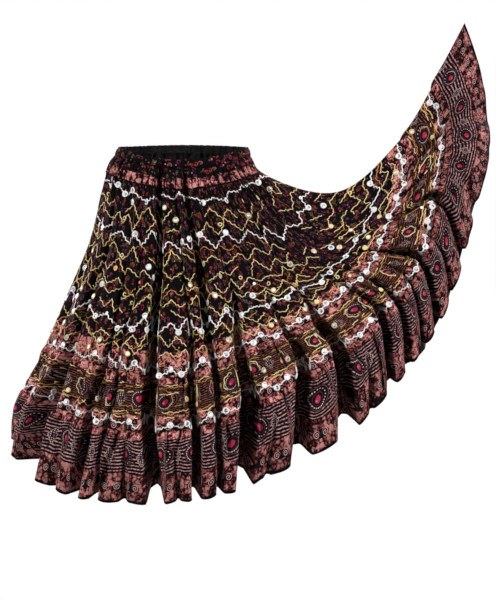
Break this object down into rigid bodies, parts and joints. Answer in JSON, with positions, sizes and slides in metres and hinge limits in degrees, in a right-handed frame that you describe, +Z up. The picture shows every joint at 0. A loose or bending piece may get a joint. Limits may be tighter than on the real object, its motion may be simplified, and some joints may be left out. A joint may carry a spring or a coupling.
{
  "type": "embroidered tiered skirt",
  "caption": "Full tiered skirt of printed cotton with thread and mirror embroidery, gathered waist and flounces, in its worn shape with one side seam lifted out and up.",
  "frame": {"origin": "the middle of the waist opening, level with its top edge at the sides", "axes": "+Z up out of the waist, the wearer faces -Y, the lifted side seam is at +X"},
  "size_m": [1.2883, 0.7799, 1.19],
  "materials": {
    "waistband_cloth": "matt black cotton over elastic",
    "yoke_print": "matt printed cotton, black with a rose border",
    "embroidered_tier_print": "matt printed cotton, black field, thread and mirror embroidery",
    "upper_flounce_print": "matt printed cotton, stripes and paisleys between rose borders",
    "hem_flounce_print": "matt printed cotton, stripes and paisleys between rose borders"
  },
  "bodies": {
    "root": {"waistband": "waistband_cloth", "yoke_front": "yoke_print", "yoke_back": "yoke_print", "embroidered_tier_front": "embroidered_tier_print", "embroidered_tier_back": "embroidered_tier_print", "upper_flounce_front": "upper_flounce_print", "upper_flounce_back": "upper_flounce_print", "hem_flounce_front": "hem_flounce_print", "hem_flounce_back": "hem_flounce_print"}
  },
  "joints": []
}
